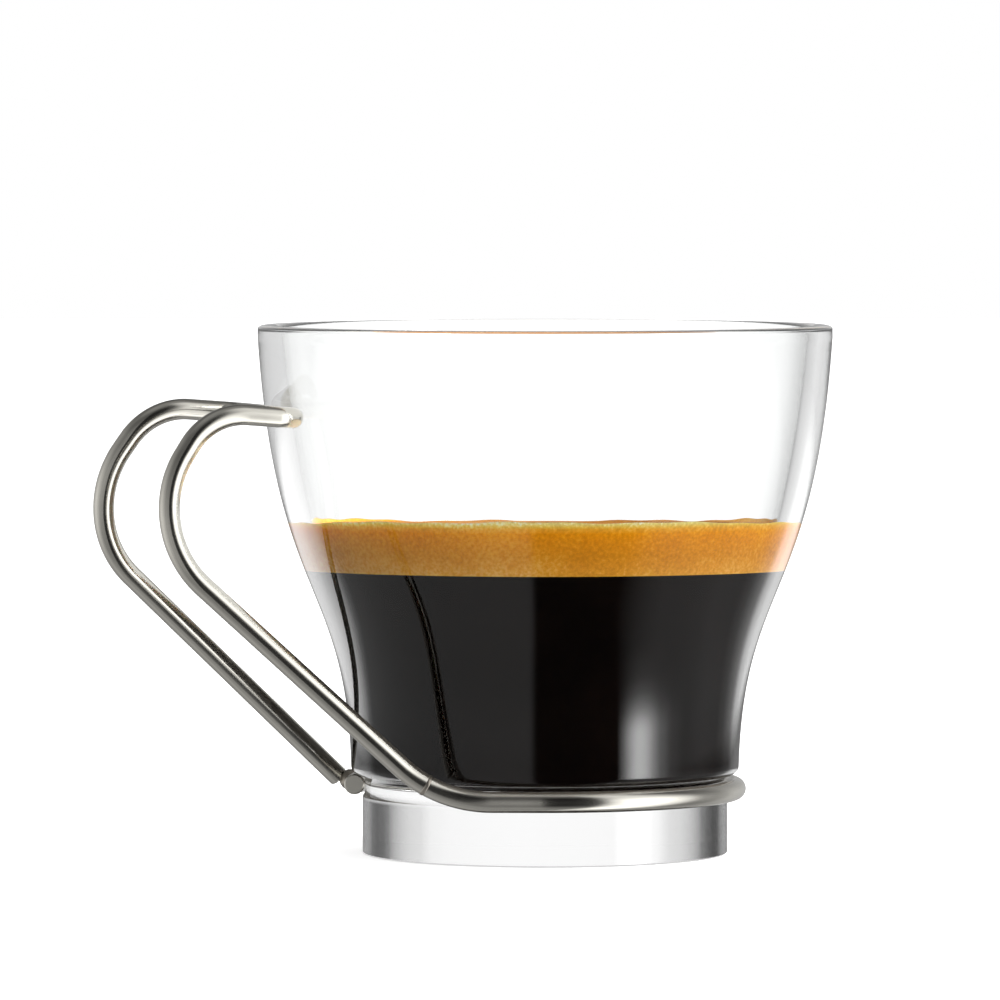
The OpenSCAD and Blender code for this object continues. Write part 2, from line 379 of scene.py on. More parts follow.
def sweep_tree():
    """Draws a round wire along a chain of points, with its length and turn kept as attributes."""
    tree, ids, begin, end = new_tree(
        "Drawn wire",
        [
            ("Radius", "NodeSocketFloat"),
            ("Sides", "NodeSocketInt"),
            ("Material", "NodeSocketMaterial"),
        ],
    )
    links = tree.links
    to_curve = tree.nodes.new("GeometryNodeMeshToCurve")
    links.new(begin.outputs["Geometry"], to_curve.inputs[0])
    parameter = tree.nodes.new("GeometryNodeSplineParameter")
    along = tree.nodes.new("GeometryNodeStoreNamedAttribute")
    along.inputs["Name"].default_value = "along"
    links.new(to_curve.outputs[0], along.inputs["Geometry"])
    links.new(parameter.outputs["Length"], along.inputs["Value"])
    circle = tree.nodes.new("GeometryNodeCurvePrimitiveCircle")
    links.new(begin.outputs["Sides"], circle.inputs["Resolution"])
    links.new(begin.outputs["Radius"], circle.inputs["Radius"])
    around = tree.nodes.new("GeometryNodeStoreNamedAttribute")
    around.data_type = "FLOAT_VECTOR"
    around.inputs["Name"].default_value = "around"
    links.new(circle.outputs[0], around.inputs["Geometry"])
    links.new(tree.nodes.new("GeometryNodeInputPosition").outputs[0], around.inputs["Value"])
    thick = tree.nodes.new("GeometryNodeInputNamedAttribute")
    thick.inputs["Name"].default_value = "thick"
    draw, *_, finish = chain(
        tree,
        along.outputs[0],
        [
            "GeometryNodeCurveToMesh",
            "GeometryNodeSetShadeSmooth",
            "GeometryNodeRealizeInstances",
            "GeometryNodeSetMaterial",
        ],
        end.inputs[0],
    )
    links.new(around.outputs[0], draw.inputs["Profile Curve"])
    links.new(thick.outputs[0], draw.inputs["Scale"])
    draw.inputs["Fill Caps"].default_value = True
    links.new(begin.outputs["Material"], finish.inputs["Material"])
    return tree, ids


def grown(name, points, thick, made_tree, values, material):
    """Runs a tree on a chain of points in millimetres and returns a plain mesh object."""
    mesh = bpy.data.meshes.new(name + " line")
    steps = [(i, i + 1) for i in range(len(points) - 1)]
    mesh.from_pydata([Vector(p) * MM for p in points], steps, [])
    if thick:
        attribute = mesh.attributes.new("thick", "FLOAT", "POINT")
        attribute.data.foreach_set("value", thick)
    source = bpy.data.objects.new(name + " source", mesh)
    bpy.context.scene.collection.objects.link(source)
    tree, ids = made_tree
    modifier = source.modifiers.new("Shape", "NODES")
    modifier.node_group = tree
    for label, value in values.items():
        modifier[ids[label]] = value
    modifier[ids["Material"]] = material
    evaluated = source.evaluated_get(bpy.context.evaluated_depsgraph_get())
    result = bpy.data.meshes.new_from_object(evaluated)
    bpy.data.objects.remove(source)
    bpy.data.meshes.remove(mesh)
    result.name = name
    piece = bpy.data.objects.new(name, result)
    bpy.context.scene.collection.objects.link(piece)
    return piece


def outward(piece, flat_caps=False):
    """Merges doubles, points the faces outwards and shades all but the sharp edges smooth."""
    bm = bmesh.new()
    bm.from_mesh(piece.data)
    bmesh.ops.remove_doubles(bm, verts=bm.verts, dist=HIDDEN_JOINT)
    bmesh.ops.recalc_face_normals(bm, faces=bm.faces)
    if bm.calc_volume(signed=True) < 0:
        bmesh.ops.reverse_faces(bm, faces=bm.faces)
    for face in bm.faces:
        face.smooth = not (flat_caps and len(face.verts) > 4)
    open_edges = sum(1 for e in bm.edges if len(e.link_faces) != 2)
    for edge in bm.edges:
        edge.smooth = edge.calc_face_angle(0) < SHARP_EDGE
    bm.to_mesh(piece.data)
    bm.free()
    if open_edges:
        raise RuntimeError(f"{piece.name} has {open_edges} open edges")
    return piece


def turned(name, outline, steps, material, body, node):
    points = [(r, 0, z) for r, z in outline]
    counts = {"Steps": steps, "Outline Points": len(points)}
    piece = grown(name, points, None, lathe_tree(), counts, material)
    outward(piece)
    return settle(piece, body, node)


def settle(piece, body, node):
    """The piece moves with its body and stands for its CAD node."""
    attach(piece, body)
    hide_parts(node)
    return piece


# Finishes

# Painted shade on the solid foot: its glass's colour darkens towards its sides, from facing the eye
# to edge on
FOOT_PAINTED_SHADE = (
    (0, 0.9), (0.15, 0.86), (0.22, 0.78), (0.27, 0.55), (0.33, 0.48), (0.38, 0.36), (0.44, 0.2),
    (0.49, 0.06), (0.54, 0.025), (0.61, 0.006), (0.68, 0.01), (0.8, 0.1), (1, 0.2),
)
LINE_STRETCH = 60                   # how the fine lines are drawn out along the wire
LINE_DEPTH = 0.93                   # tone of the lines beside the plain steel
ROUGH_SPREAD = (-0.05, 0.07)        # patches of wear round the wire's own roughness
COFFEE_PAINTED_IN_REFLECTIONS = (0.2, 0.18, 0.16)  # painted reflection: the drink's colour where the wire or another mirror shows it
FOAM_PAINTED_IN_REFLECTIONS = (0.8, 0.66, 0.48)
FRINGE_TOP = 1.1                    # where the foam's pale fringe ends over the drink, in mm

# Factors on the foam's colour, from its foot to its climbing edge
FOAM_BANDS = (
    (0.0, (1.25, 1.5, 3.0)), (0.04, (1.12, 1.3, 2.6)), (0.165, (1.08, 1.18, 2.0)),
    (0.37, (1.03, 1.05, 1.2)), (0.66, (1.12, 1.08, 0.8)), (0.81, (1.2, 1.18, 0.45)),
    (0.9, (1.26, 1.55, 2.5)), (0.95, (1.28, 2.2, 7.0)), (1.0, (1.28, 2.8, 18.0)),
)
# and from its sides to its level surface
FOAM_TOP = ((0.0, (1, 1, 1)), (0.8, (1, 1.1, 1.5)), (0.99, (0.52, 0.56, 3.5)))


def new_finish(name):
    material = bpy.data.materials.new(name)
    material.use_nodes = True
    nodes, links = material.node_tree.nodes, material.node_tree.links
    return material, nodes, links, nodes["Principled BSDF"]


def add(nodes, kind, **values):
    node = nodes.new(kind)
    for key, value in values.items():
        if hasattr(node, key):
            setattr(node, key, value)
        else:
            node.inputs[key.replace("_", " ").title()].default_value = value
    return node


def ramp(nodes, stops, kind="LINEAR"):
    node = nodes.new("ShaderNodeValToRGB")
    node.color_ramp.interpolation = kind
    elements = node.color_ramp.elements
    while len(elements) > 1:
        elements.remove(elements[-1])
    elements[0].position = stops[0][0]
    elements[0].color = (*stops[0][1], 1)
    for place, colour in stops[1:]:
        elements.new(place).color = (*colour, 1)
    return node


def clear_glass(s):
    """Faintly tinted, slightly wavy glass, with painted shade that darkens the solid foot towards
    its sides.
    """
    material, nodes, links, shader = new_finish("Clear glass")
    edge = nodes.new("ShaderNodeLayerWeight")
    edge.inputs["Blend"].default_value = 0.5
    # painted shade: below the ring the glass's colour darkens from facing the eye to edge on
    thick = ramp(nodes, [(at, (v, v, v)) for at, v in FOOT_PAINTED_SHADE])
    links.new(edge.outputs["Facing"], thick.inputs[0])
    height = nodes.new("ShaderNodeSeparateXYZ")
    in_foot = nodes.new("ShaderNodeMapRange")
    in_foot.inputs["From Min"].default_value = s.ring_z
    in_foot.inputs["From Max"].default_value = s.ring_z - s.wire_d / 2
    links.new(height.outputs["Z"], in_foot.inputs["Value"])
    body = nodes.new("ShaderNodeMix")
    body.data_type = "RGBA"
    body.inputs[6].default_value = (*s.glass_tint, 1)
    links.new(in_foot.outputs[0], body.inputs[0])
    links.new(thick.outputs[0], body.inputs[7])
    links.new(body.outputs[2], shader.inputs["Base Color"])
    shader.inputs["Transmission Weight"].default_value = 1
    shader.inputs["Roughness"].default_value = 0
    shader.inputs["IOR"].default_value = s.glass_ior
    place = nodes.new("ShaderNodeTexCoord")
    waves = add(nodes, "ShaderNodeTexNoise", scale=55.0, detail=1.0)
    bump = nodes.new("ShaderNodeBump")
    bump.inputs["Strength"].default_value = 0.35
    bump.inputs["Distance"].default_value = 0.00006
    links.new(place.outputs["Object"], waves.inputs["Vector"])
    links.new(place.outputs["Object"], height.inputs[0])
    links.new(waves.outputs[0], bump.inputs["Height"])
    links.new(bump.outputs[0], shader.inputs["Normal"])
    return material


def satin_wire(s):
    """Drawn stainless wire: fine lines along it, and faint patches of wear."""
    material, nodes, links, shader = new_finish("Satin wire")
    shader.inputs["Metallic"].default_value = 1
    around = add(nodes, "ShaderNodeAttribute", attribute_name="around")
    along = add(nodes, "ShaderNodeAttribute", attribute_name="along")
    stretch = nodes.new("ShaderNodeVectorMath")
    stretch.operation = "SCALE"
    stretch.inputs["Scale"].default_value = 1 / (s.wire_d / 2)
    slow = nodes.new("ShaderNodeMath")
    slow.operation = "MULTIPLY"
    slow.inputs[1].default_value = LINE_STRETCH
    place = nodes.new("ShaderNodeCombineXYZ")
    apart = nodes.new("ShaderNodeSeparateXYZ")
    links.new(around.outputs["Vector"], stretch.inputs[0])
    links.new(stretch.outputs["Vector"], apart.inputs[0])
    links.new(apart.outputs[0], place.inputs[0])
    links.new(apart.outputs[1], place.inputs[1])
    links.new(along.outputs["Fac"], slow.inputs[0])
    links.new(slow.outputs[0], place.inputs[2])
    lines = add(nodes, "ShaderNodeTexNoise", scale=14.0, detail=4.0)
    links.new(place.outputs[0], lines.inputs["Vector"])
    body = nodes.new("ShaderNodeTexCoord")
    wear = add(nodes, "ShaderNodeTexNoise", scale=160.0, detail=3.0)
    links.new(body.outputs["Object"], wear.inputs["Vector"])
    darker = tuple(c * LINE_DEPTH for c in s.steel)
    colour = ramp(nodes, [(0.3, darker), (0.7, tuple(s.steel))])
    links.new(lines.outputs[0], colour.inputs[0])
    links.new(colour.outputs[0], shader.inputs["Base Color"])
    rough = nodes.new("ShaderNodeMapRange")
    rough.inputs["To Min"].default_value = s.steel_rough + ROUGH_SPREAD[0]
    rough.inputs["To Max"].default_value = s.steel_rough + ROUGH_SPREAD[1]
    links.new(wear.outputs[0], rough.inputs["Value"])
    links.new(rough.outputs[0], shader.inputs["Roughness"])
    bump = nodes.new("ShaderNodeBump")
    bump.inputs["Strength"].default_value = 0.06
    bump.inputs["Distance"].default_value = 0.00003
    links.new(lines.outputs[0], bump.inputs["Height"])
    links.new(bump.outputs[0], shader.inputs["Normal"])
    return material


def weld_metal():
    """Fused metal: dull, heat tinted and lightly rippled."""
    material, nodes, links, shader = new_finish("Weld metal")
    shader.inputs["Metallic"].default_value = 1
    place = nodes.new("ShaderNodeTexCoord")
    ripple = add(nodes, "ShaderNodeTexNoise", scale=1600.0, detail=3.0)
    tint = add(nodes, "ShaderNodeTexNoise", scale=500.0, detail=1.0)
    links.new(place.outputs["Object"], ripple.inputs["Vector"])
    links.new(place.outputs["Object"], tint.inputs["Vector"])
    colour = ramp(
        nodes, [(0.35, (0.16, 0.14, 0.12)), (0.52, (0.34, 0.31, 0.27)), (0.7, (0.5, 0.46, 0.4))]
    )
    links.new(tint.outputs[0], colour.inputs[0])
    links.new(colour.outputs[0], shader.inputs["Base Color"])
    shader.inputs["Roughness"].default_value = 0.34
    bump = nodes.new("ShaderNodeBump")
    bump.inputs["Strength"].default_value = 0.6
    bump.inputs["Distance"].default_value = 0.00008
    links.new(ripple.outputs[0], bump.inputs["Height"])
    links.new(bump.outputs[0], shader.inputs["Normal"])
    return material


def painted_reflection_tint(tree, colour, pale):
    """The drink's colour, but a paler painted colour wherever it is seen in a reflection, the
    wire's above all.
    """
    path = tree.nodes.new("ShaderNodeLightPath")
    mix = tree.nodes.new("ShaderNodeMix")
    mix.data_type = "RGBA"
    mirrored = math_node(tree, "GREATER_THAN", path.outputs["Glossy Depth"], 0.5)
    tree.links.new(mirrored, mix.inputs[0])
    tree.links.new(colour, mix.inputs[6])
    mix.inputs[7].default_value = (*pale, 1)
    return mix.outputs[2]


def dark_coffee(s):
    """Nearly black coffee, faintly cloudy."""
    material, nodes, links, shader = new_finish("Dark coffee")
    place = nodes.new("ShaderNodeTexCoord")
    cloud = add(nodes, "ShaderNodeTexNoise", scale=90.0, detail=2.0)
    links.new(place.outputs["Object"], cloud.inputs["Vector"])
    c = s.coffee
    colour = ramp(nodes, [(0.35, tuple(x * 0.7 for x in c)), (0.7, tuple(x * 1.3 for x in c))])
    links.new(cloud.outputs[0], colour.inputs[0])
    # painted reflection: the coffee turns paler where a mirror shows it
    seen = painted_reflection_tint(material.node_tree, colour.outputs[0], COFFEE_PAINTED_IN_REFLECTIONS)
    links.new(seen, shader.inputs["Base Color"])
    shader.inputs["Roughness"].default_value = 0.08
    shader.inputs["Specular IOR Level"].default_value = 0
    return material


def golden_foam(s):
    """Fine foam, mottled gold and hazel, with a pale fringe where it climbs the glass."""
    material, nodes, links, shader = new_finish("Golden foam")
    place = nodes.new("ShaderNodeTexCoord")
    clouds = add(nodes, "ShaderNodeTexNoise", scale=75.0, detail=5.0, distortion=0.4)
    fine = add(nodes, "ShaderNodeTexNoise", scale=2600.0, detail=2.0)
    cells = nodes.new("ShaderNodeTexVoronoi")
    cells.inputs["Scale"].default_value = 1300.0
    for node in (clouds, fine, cells):
        links.new(place.outputs["Object"], node.inputs["Vector"])
    tree = material.node_tree
    coarse_half = math_node(tree, "MULTIPLY", clouds.outputs[0], 0.5)
    fine_half = math_node(tree, "MULTIPLY", fine.outputs[0], 0.5)
    grain = math_node(tree, "ADD", coarse_half, fine_half)
    mottle = ramp(nodes, [(0.36, s.foam_dark), (0.5, s.foam), (0.64, s.foam_light)])
    links.new(grain, mottle.inputs[0])
    height = nodes.new("ShaderNodeSeparateXYZ")
    links.new(place.outputs["Object"], height.inputs[0])
    level = nodes.new("ShaderNodeMapRange")
    level.inputs["From Min"].default_value = s.drink_z - s.crema_t
    level.inputs["From Max"].default_value = s.drink_z + FRINGE_TOP * MM
    links.new(height.outputs["Z"], level.inputs["Value"])
    bands = ramp(nodes, FOAM_BANDS)
    links.new(level.outputs[0], bands.inputs[0])
    facing = nodes.new("ShaderNodeSeparateXYZ")
    links.new(place.outputs["Normal"], facing.inputs[0])
    uneven = math_node(tree, "SUBTRACT", clouds.outputs[0], 0.5)
    uneven = math_node(tree, "MULTIPLY", uneven, 0.12)
    wavering = math_node(tree, "ADD", facing.outputs["Z"], uneven)
    top = ramp(nodes, FOAM_TOP)
    links.new(wavering, top.inputs[0])

    def tinted(a, b):
        node = nodes.new("ShaderNodeMix")
        node.data_type = "RGBA"
        node.blend_type = "MULTIPLY"
        node.inputs[0].default_value = 1
        links.new(a, node.inputs[6])
        links.new(b, node.inputs[7])
        return node.outputs[2]

    foam = tinted(tinted(mottle.outputs[0], bands.outputs[0]), top.outputs[0])
    # painted reflection: the foam turns paler where a mirror shows it
    links.new(painted_reflection_tint(tree, foam, FOAM_PAINTED_IN_REFLECTIONS), shader.inputs["Base Color"])
    shader.inputs["Roughness"].default_value = 0.6
    shader.inputs["Specular IOR Level"].default_value = 0
    shader.inputs["Subsurface Weight"].default_value = 0.15
    shader.inputs["Subsurface Radius"].default_value = (1.0, 0.5, 0.2)
    shader.inputs["Subsurface Scale"].default_value = 0.001
    bump = nodes.new("ShaderNodeBump")
    bump.inputs["Strength"].default_value = 0.4
    bump.inputs["Distance"].default_value = 0.0001
    bubbles = math_node(tree, "ADD", fine.outputs[0], cells.outputs["Distance"])
    links.new(bubbles, bump.inputs["Height"])
    links.new(bump.outputs[0], shader.inputs["Normal"])
    return material


# Settings that a user would change

def length(name, description, mm):
    return bpy.props.FloatProperty(
        name=name, description=description, default=mm * MM, min=0, precision=5,
        unit="LENGTH", subtype="DISTANCE",
    )


def tone(name, description, colour):
    return bpy.props.FloatVectorProperty(
        name=name, description=description, default=colour, size=3, min=0, max=1,
        subtype="COLOR",
    )


class GlassSettings(bpy.types.PropertyGroup):
    """Sizes and colours of the cortado glass, its drink and its wire."""

    glass_h: length("Height", "Height of the glass", 63.2)
    rim_r: length("Rim radius", "Outer radius under the rim", 34.45)
    rim_t: length("Rim thickness", "Thickness of the rounded rim", 2.85)
    rim_round: length("Rim rounding", "Rounding along both edges of the rim", 0.8)
    shoulder_out: length("Shoulder overhang", "How far the shoulder overhangs the foot", 1.4)
    shoulder_round: length("Shoulder rounding", "Rounding under the shoulder", 1.05)
    bowl_wall: length("Lowest wall", "Wall at the foot of the bowl", 1.8)
    low_wall: length("Low wall", "Wall control low in the bowl", 1.72)
    high_wall: length("High wall", "Wall control high in the bowl", 3.97)
    base_t: length("Base thickness", "Solid base under the drink", 9.7)
    floor_round: length("Floor corner", "Corner between the wall and the floor", 0.4)
    foot_r: length("Foot radius", "Radius of the solid foot", 21.9)
    wire_d: length("Wire diameter", "Diameter of the wire", 2.5)
    ring_z: length("Ring height", "Height of the ring's centre line", 7.6)
    groove_depth: length("Groove depth", "How far the groove is let in behind the foot", 0.33)
    ring_fit: length("Ring clearance", "Running clearance of the ring in its groove", 0.08)
    ring_play: length("Ring play", "Free height over the ring", 0.45)
    bar_drop: length("Bar drop", "Height of the cross bar below the rim", 10.45)
    bar_gap: length("Bar gap", "Gap between the cross bar and the glass", 0.3)
    bar_half: length("Half bar", "Half the distance between the legs at the bar", 11)
    top_run: length("Top run", "Length of the top run", 10.9)
    top_rise: length("Top rise", "Rise of the top run", 0.86)
    bow_out: length("Bow out", "How far the bow's corner stands out", 9.3)
    bow_drop: length("Bow drop", "How far the bow's corner lies below", 13.4)
    leg_gap: length("Leg gap", "Gap between the legs' feet and the shoulder", 1.2)
    bar_bend: length("Bar bend", "Bend radius at the cross bar", 2.6)
    top_bend: length("Top bend", "Bend radius at the top of the bow", 8.1)
    bow_bend: length("Bow bend", "Bend radius at the foot of the bow", 11.8)
    sweep_bend: length("Sweep bend", "Bend radius where the leg sweeps into the ring", 15)
    rear_stop: length("Rear stop", "How far the rear leg stops above the ring's level", 1)
    end_spring: length("End spring", "How far the ring's cut end springs up out of its level", 0.4)
    bead_r: length("Bead radius", "Radius of the rear weld bead", 1.6)
    weld_proud: length("Weld proud", "How far the butt weld stands proud", 0.06)
    butt_weld: length("Butt weld", "Length of the butt weld", 0.5)
    drink_z: length("Drink height", "Height of the crema's surface", 39.8)
    crema_t: length("Crema depth", "Depth of the crema", 5.1)
    drink_contact: length(
        "Contact", "How far the drink reaches into the glass, so that no air shows", 0.03
    )
    leg_angle: bpy.props.FloatProperty(
        name="Leg angle", description="Angle between the handle's plane and each leg's foot",
        default=math.radians(40.3), subtype="ANGLE",
    )
    cut_angle: bpy.props.FloatProperty(
        name="Cut angle", description="Angle between the handle's plane and the ring's cut end",
        default=math.radians(21), subtype="ANGLE",
    )
    seam_share: bpy.props.FloatProperty(
        name="Seam place", description="Share of the sweep before the butt weld", default=0.7,
        min=0.1, max=1, subtype="FACTOR",
    )
    glass_ior: bpy.props.FloatProperty(
        name="Glass index", description="Refractive index of the glass", default=1.5
    )
    glass_tint: tone("Glass tint", "Faint colour of the glass", (0.992, 0.998, 0.996))
    steel: tone("Steel", "Colour of the wire", (0.65, 0.63, 0.572))
    steel_rough: bpy.props.FloatProperty(
        name="Steel roughness", description="Roughness of the satin wire", default=0.16,
        min=0, max=1, subtype="FACTOR",
    )
    coffee: tone("Espresso", "Colour of the drink", (0.004, 0.002, 0.0015))
    foam: tone("Crema", "Main colour of the foam", (0.78, 0.3, 0.016))
    foam_dark: tone("Dark crema", "Darker patches of the foam", (0.65, 0.23, 0.012))
    foam_light: tone("Light crema", "Paler patches of the foam", (0.88, 0.42, 0.05))


# Operators

CUP_STEPS, DRINK_STEPS, WIRE_SIDES = 200, 160, 32


class Piece:
    bl_options = {"REGISTER", "UNDO"}


class CORTADO_OT_glass(Piece, bpy.types.Operator):
    """Turn the clear glass cup"""

    bl_idname = "cortado.glass"
    bl_label = "Glass Cup"

    def execute(self, context):
        s = context.scene.cortado
        outline, finish = cup_outline(s), clear_glass(s)
        turned("clear_cup", outline, CUP_STEPS, finish, "glass", "glass_cup")
        return {"FINISHED"}


class CORTADO_OT_drink(Piece, bpy.types.Operator):
    """Pour the espresso and its crema"""

    bl_idname = "cortado.drink"
    bl_label = "Espresso and Crema"

    def execute(self, context):
        s = context.scene.cortado
        outline, finish = espresso_outline(s), dark_coffee(s)
        turned("espresso_pour", outline, DRINK_STEPS, finish, "glass", "espresso")
        outline, finish = crema_outline(s), golden_foam(s)
        crema = turned("crema_layer", outline, DRINK_STEPS, finish, "glass", "crema")
        climb(crema, s)
        return {"FINISHED"}


def climb(crema, s):
    """Lets the foam's edge cling to the glass, higher on the side it was poured towards."""
    inner = glass_sizes(s)["inner"]
    top = s.drink_z / MM
    edge = radius_at(inner, top) + s.drink_contact / MM
    for v in crema.data.vertices:
        x, y, z = v.co / MM
        r = math.hypot(x, y)
        if z < top - MENISCUS - 0.01 or r < edge - 1:
            continue
        turn = math.atan2(y, x)
        wave = 0.08 * math.sin(9 * turn + 1) + 0.06 * math.sin(23 * turn)
        poured = FOAM_RISE - FOAM_TILT * math.cos(turn - FOAM_LOW_SIDE)
        rise = (poured + wave) * ((r - edge + 1) ** 3)
        new_r = r + radius_at(inner, z + rise) - radius_at(inner, z)
        v.co = Vector((x * new_r / r, y * new_r / r, z + rise)) * MM


class CORTADO_OT_wire(Piece, bpy.types.Operator):
    """Bend the ring and the handle from satin wire"""

    bl_idname = "cortado.wire"
    bl_label = "Wire"

    def execute(self, context):
        s = context.scene.cortado
        d, ring, handle, *_ = wire_paths(s)
        finish = satin_wire(s)
        wire = {"Radius": d["wire_r"] * MM, "Sides": WIRE_SIDES}
        for name, path, node, ends in (
            ("waist_ring", ring, "base_ring", (True, False)),
            ("bent_handle", handle, "handle_loop", (False, True)),
        ):
            points, thick = with_eased_ends(path, d["wire_r"], ends)
            piece = grown(name, points, thick, sweep_tree(), wire, finish)
            outward(piece, flat_caps=True)
            settle(piece, "handle", node)
        return {"FINISHED"}


def with_eased_ends(path, wire_r, ends):
    """Cuts long stretches up and eases the burr off each clean cut end."""
    points = [path[0]]
    for a, b in zip(path, path[1:]):
        gap = (b - a).length
        if gap < 1e-4:
            continue
        n = max(1, math.ceil(gap / 2.5))
        points += [a.lerp(b, i / n) for i in range(1, n + 1)]
    thick = [1.0] * len(points)
    for at_start, cut in zip((True, False), ends):
        if not cut:
            continue
        if not at_start:
            points.reverse()
            thick.reverse()
        ahead = (points[1] - points[0]).normalized()
        start = points[0]
        eased_points = [start + ahead * wire_r * x for x in (0, 0.03, 0.08, 0.16)]
        points = eased_points + points[1:]
        thick = [0.84, 0.93, 0.98, 1.0] + thick[1:]
        if not at_start:
            points.reverse()
            thick.reverse()
    return points, thick


class CORTADO_OT_welds(Piece, bpy.types.Operator):
    """Lay the butt weld in the front leg and the bead beside the ring"""

    bl_idname = "cortado.welds"
    bl_label = "Welds"

    def execute(self, context):
        s = context.scene.cortado
        d, _, _, seam, rear = wire_paths(s)
        finish = weld_metal()
        place, ahead = seam
        half = s.butt_weld / MM / 2
        steps = 10
        line = [place + ahead * half * (2 * i / steps - 1) for i in range(steps + 1)]
        proud = (d["wire_r"] + s.weld_proud / MM) / d["wire_r"]
        swell = [math.sqrt(max(0, 1 - (2 * i / steps - 1) ** 2)) for i in range(steps + 1)]
        thick = [0.99 + (proud - 0.99) * x for x in swell]
        wire = {"Radius": d["wire_r"] * MM, "Sides": WIRE_SIDES}
        collar = grown("butt_weld", line, thick, sweep_tree(), wire, finish)
        outward(collar, flat_caps=True)
        settle(collar, "handle", "front_weld")

        leg_end, by_ring = rear
        bm = bmesh.new()
        bmesh.ops.create_icosphere(bm, subdivisions=5, radius=s.bead_r)
        centre = (leg_end + by_ring) / 2 * MM
        between = (leg_end - by_ring).normalized()
        for v in bm.verts:
            n = v.co.normalized()
            ripple = 0.02 * math.sin(9 * n.x + 4 * n.z) * math.sin(7 * n.y - 3 * n.x)
            side = n - between * n.dot(between)
            v.co = centre + v.co * (0.97 + ripple) - side * s.bead_r * 0.14
        for face in bm.faces:
            face.smooth = True
        mesh = bpy.data.meshes.new("rear_bead")
        bm.to_mesh(mesh)
        bm.free()
        mesh.materials.append(finish)
        bead = bpy.data.objects.new("rear_bead", mesh)
        context.scene.collection.objects.link(bead)
        settle(bead, "handle", "rear_weld")
        return {"FINISHED"}


class CORTADO_OT_stage(Piece, bpy.types.Operator):
    """Set the pale table, the studio light and the camera"""

    bl_idname = "cortado.stage"
    bl_label = "Studio"

    def execute(self, context):
        table_top(context)
        studio_world(context)
        soft_lamps(context)
        photo_camera(context)
        context.scene.view_settings.view_transform = "Standard"
        return {"FINISHED"}


def table_top(context):
    """A pale table: white to the camera, with the object's shadow, and clear to reflections."""
    bm = bmesh.new()
    bmesh.ops.create_circle(bm, cap_ends=True, segments=96, radius=3.0)
    mesh = bpy.data.meshes.new("table_top")
    bm.to_mesh(mesh)
    bm.free()
    mesh.transform(Matrix.Translation((0, 0, -0.0002)))
    table = bpy.data.objects.new("table_top", mesh)
    context.scene.collection.objects.link(table)
    material, nodes, links, shader = new_finish("Pale table")
    shader.inputs["Roughness"].default_value = 0.9
    shader.inputs["Specular IOR Level"].default_value = 0
    place = nodes.new("ShaderNodeTexCoord")
    grain = add(nodes, "ShaderNodeTexNoise", scale=30.0, detail=2.0)
    links.new(place.outputs["Object"], grain.inputs["Vector"])
    colour = ramp(nodes, [(0.0, (0.8, 0.8, 0.8)), (1.0, (0.84, 0.84, 0.84))])
    links.new(grain.outputs[0], colour.inputs[0])
    links.new(colour.outputs[0], shader.inputs["Base Color"])
    path = nodes.new("ShaderNodeLightPath")
    lift = nodes.new("ShaderNodeEmission")
    lift.inputs["Strength"].default_value = LIFT
    seen = nodes.new("ShaderNodeMixShader")
    both = nodes.new("ShaderNodeAddShader")
    links.new(shader.outputs[0], both.inputs[0])
    links.new(lift.outputs[0], both.inputs[1])
    links.new(path.outputs["Is Camera Ray"], seen.inputs[0])
    links.new(shader.outputs[0], seen.inputs[1])
    links.new(both.outputs[0], seen.inputs[2])
    clear = nodes.new("ShaderNodeBsdfTransparent")
    solid = nodes.new("ShaderNodeMath")
    solid.operation = "MAXIMUM"
    links.new(path.outputs["Is Camera Ray"], solid.inputs[0])
    links.new(path.outputs["Is Diffuse Ray"], solid.inputs[1])
    last = nodes.new("ShaderNodeMixShader")
    links.new(solid.outputs[0], last.inputs[0])
    links.new(clear.outputs[0], last.inputs[1])
    links.new(seen.outputs[0], last.inputs[2])
    links.new(last.outputs[0], nodes["Material Output"].inputs[0])
    mesh.materials.append(material)


VIEW_TURN = math.radians(21)

# What stands round the object, by the angle across (0 towards the camera, + to its right) and by
# the angle up, in degrees. The soft box shows in the glass, and its taller part in the wire.
SOFT_BOX = (
    (43.5, 0), (47.5, 0.2), (51, 0.52), (55.4, 0.88), (59.3, 0.9), (63.3, 0.7), (67, 0.4),
    (71.6, 0.16), (80, 0.03), (90, 0),
)
SOFT_BOX_UP = (
    (-90, 0), (-43, 0.004), (-36, 0.01), (-30, 0.03), (-27, 0.045), (-23, 0.12), (-20, 0.28),
    (-18, 0.5), (-16, 0.8), (-14, 1), (25, 1), (45, 0.2), (60, 0),
)
SOFT_BOX_LIGHT = 10.5
TALL_BOX = (
    (33, 0), (39, 1.0), (46, 1.8), (60, 2.2), (72, 1.9), (86, 1.0), (100, 0.1), (106, 0),
)
TALL_BOX_UP = (
    (-90, 0.3), (-80, 0.45), (-62, 0.9), (14, 0.95), (25, 0.75), (36, 0.55), (62, 0.4),
    (75, 0.15), (90, 0),
)
OVERHEAD = ((25, 0), (45, 1.0), (90, 1.2))

# The pale and dark cards that the wire mirrors, and the light above and below it
CARDS = (
    (-180, 0.35), (-128, 0.6), (-105, 0.85), (-90, 0.95), (-70, 0.75), (-56, 0.62), (-40, 0.45),
    (-26, 0.48), (-13, 0.36), (-5, 0.5), (-2.4, 0.42), (-0.4, 0.03), (26, 0.03), (34, 0.12),
    (90, 0.5), (103, 0.42), (119, 0.4), (140, 0.7), (180, 0.5),
)
CARDS_UP = (
    (-90, 0.25), (-60, 0.27), (-42, 0.48), (-20, 0.92), (0, 1), (12, 0.85), (25, 0.6),
    (36, 0.42), (48, 0.2), (60, 0.1), (90, 0.05),
)
ABOVE_AND_BELOW = (
    (-90, 0.2), (-60, 0.25), (-45, 0.08), (-30, 0), (40, 0), (55, 0.08), (72, 0.25), (90, 0.28),
)

